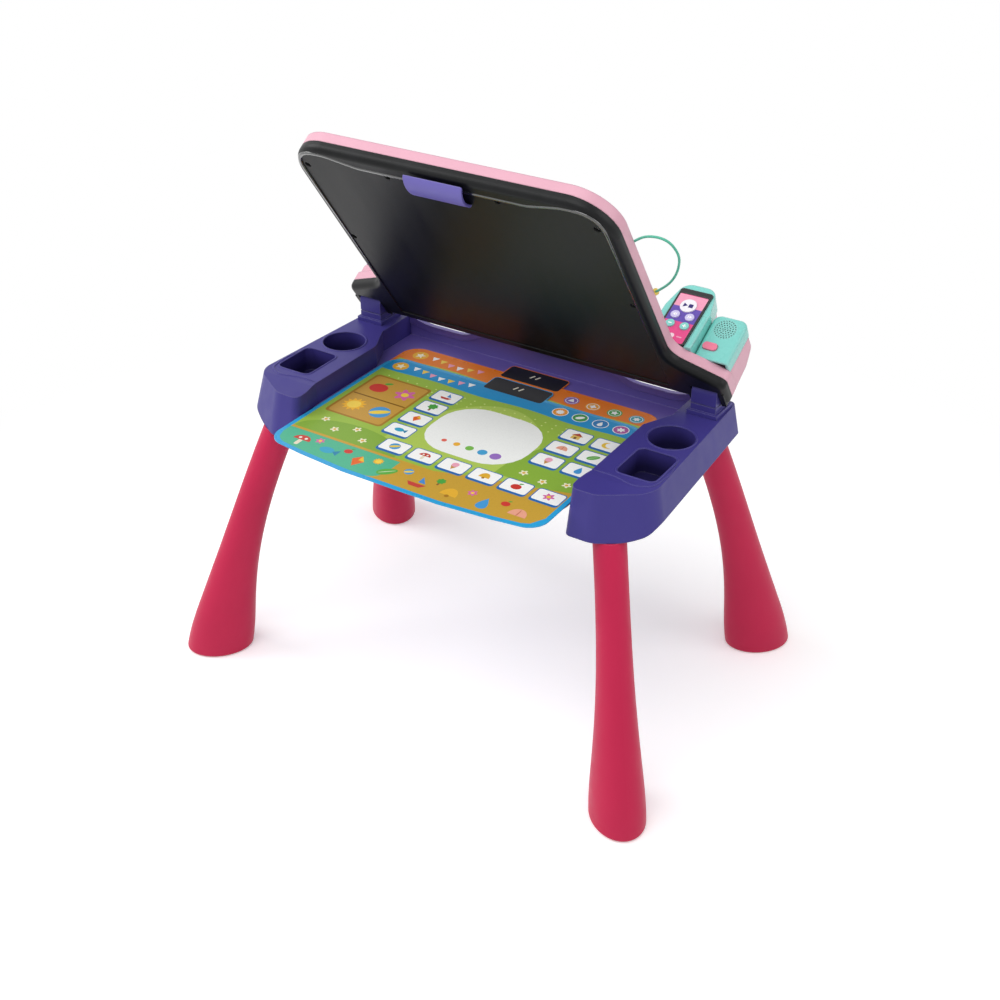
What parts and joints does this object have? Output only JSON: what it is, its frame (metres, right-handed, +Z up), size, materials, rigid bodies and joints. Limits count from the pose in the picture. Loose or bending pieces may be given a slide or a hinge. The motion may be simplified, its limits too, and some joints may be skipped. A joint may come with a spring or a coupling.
{
  "type": "children's activity desk",
  "caption": "Child's activity desk on splayed legs: folding chalkboard lid, page tray, caddies with cup and bin, play phone, speaker pod and tethered stylus.",
  "frame": {"origin": "on the floor, midway between the four feet", "axes": "+X to the seated child's right, +Y to the back, +Z up"},
  "size_m": [0.6096, 0.4214, 0.6194],
  "materials": {
    "leg_plastic": "moulded raspberry plastic, fine texture",
    "body_plastic": "moulded purple plastic, fine texture",
    "board_plastic": "black chalkboard plastic, satin",
    "rim_plastic": "pale pink plastic, soft gloss",
    "mint_plastic": "mint plastic, soft gloss",
    "button_plastic": "warm pink plastic",
    "white_plastic": "white plastic",
    "lilac_plastic": "lilac plastic",
    "clip_plastic": "violet plastic",
    "yellow_plastic": "yellow plastic",
    "cord_vinyl": "mint vinyl cord",
    "page_laminate": "laminated printed card",
    "panel_laminate": "printed touch panel",
    "screen_print": "glossy printed screen",
    "bezel_plastic": "black gloss plastic",
    "screw_steel": "zinc-plated steel",
    "cell_wrap": "battery wrap",
    "circuit_board": "green circuit board",
    "keypad_rubber": "grey silicone",
    "driver_metal": "black speaker frame"
  },
  "bodies": {
    "base": {"page_tray": "body_plastic", "left_caddy": "body_plastic", "right_caddy": "body_plastic", "left_caddy_base": "body_plastic", "right_caddy_base": "body_plastic", "left_hinge_post": "body_plastic", "right_hinge_post": "body_plastic", "front_left_leg": "leg_plastic", "front_right_leg": "leg_plastic", "rear_left_leg": "leg_plastic", "rear_right_leg": "leg_plastic", "leg_screws": "screw_steel", "caddy_base_screws": "screw_steel", "post_screws": "screw_steel", "tray_screws": "screw_steel"},
    "lid": {"batteries": "cell_wrap", "battery_box": "bezel_plastic", "battery_door": "lilac_plastic", "battery_door_screw": "screw_steel", "clip_pin": "screw_steel", "clip_spring": "screw_steel", "cord_gland": "yellow_plastic", "keypad_membrane": "keypad_rubber", "knob_shaft": "bezel_plastic", "left_console": "rim_plastic", "left_hinge_pin": "screw_steel", "lid_back_panel": "board_plastic", "lid_screws": "screw_steel", "lid_top_shell": "rim_plastic", "main_board": "circuit_board", "page_reader": "body_plastic", "phone_bezel": "bezel_plastic", "phone_dock": "mint_plastic", "phone_dock_back": "rim_plastic", "phone_screen": "screen_print", "right_hinge_pin": "screw_steel", "speaker_back": "rim_plastic", "speaker_driver": "driver_metal", "speaker_housing": "mint_plastic", "stylus_cord": "cord_vinyl", "stylus_cradle": "rim_plastic", "touch_panel": "panel_laminate"},
    "play_button": {"play_button": "white_plastic"},
    "previous_button": {"previous_button": "lilac_plastic"},
    "next_button": {"next_button": "lilac_plastic"},
    "volume_down_button": {"volume_down_button": "mint_plastic"},
    "volume_up_button": {"volume_up_button": "mint_plastic"},
    "power_button": {"power_button": "button_plastic"},
    "menu_knob": {"menu_knob": "lilac_plastic"},
    "paper_clip": {"paper_clip": "clip_plastic"},
    "stylus": {"stylus": "yellow_plastic"},
    "activity_page_front": {"activity_page_front": "page_laminate"},
    "activity_page_rear": {"activity_page_rear": "page_laminate"}
  },
  "joints": [
    {"name": "lid_hinge", "type": "hinge", "parent": "base", "child": "lid", "pos_m": [0, 0.096, 0.3606], "axis": [-1, 0, 0], "range_deg": [-54.5, 0]},
    {"name": "front_page_slide", "type": "slide", "parent": "base", "child": "activity_page_front", "axis": [0, -1, 0], "range_m": [0, 0.26]},
    {"name": "rear_page_slide", "type": "slide", "parent": "base", "child": "activity_page_rear", "axis": [0, -1, 0], "range_m": [0, 0.3]},
    {"name": "play_press", "type": "slide", "parent": "lid", "child": "play_button", "axis": [0, 0.4147, -0.91], "range_m": [0, 0.001], "stiffness_N_per_m": 600, "springref_m": -0.0005},
    {"name": "previous_press", "type": "slide", "parent": "lid", "child": "previous_button", "axis": [0, 0.4147, -0.91], "range_m": [0, 0.001], "stiffness_N_per_m": 600, "springref_m": -0.0005},
    {"name": "next_press", "type": "slide", "parent": "lid", "child": "next_button", "axis": [0, 0.4147, -0.91], "range_m": [0, 0.001], "stiffness_N_per_m": 600, "springref_m": -0.0005},
    {"name": "volume_down_press", "type": "slide", "parent": "lid", "child": "volume_down_button", "axis": [0, 0.4147, -0.91], "range_m": [0, 0.001], "stiffness_N_per_m": 600, "springref_m": -0.0005},
    {"name": "volume_up_press", "type": "slide", "parent": "lid", "child": "volume_up_button", "axis": [0, 0.4147, -0.91], "range_m": [0, 0.001], "stiffness_N_per_m": 600, "springref_m": -0.0005},
    {"name": "power_press", "type": "slide", "parent": "lid", "child": "power_button", "axis": [0, 0.4924, -0.8704], "range_m": [0, 0.0012], "stiffness_N_per_m": 600, "springref_m": -0.0005},
    {"name": "knob_turn", "type": "hinge", "parent": "lid", "child": "menu_knob", "pos_m": [-0.224, 0.10649, 0.39756], "axis": [0, 0.8141, 0.5807], "range_deg": [-150, 150]},
    {"name": "clip_squeeze", "type": "hinge", "parent": "lid", "child": "paper_clip", "pos_m": [0, -0.08373, 0.58739], "axis": [-1, 0, 0], "range_deg": [0, 10], "stiffness_Nm_per_rad": 0.3, "springref_deg": -11.46},
    {"name": "stylus_lift", "type": "slide", "parent": "lid", "child": "stylus", "axis": [0, 0.8141, 0.5807], "range_m": [0, 0.03], "deforming": ["stylus_cord"]}
  ]
}
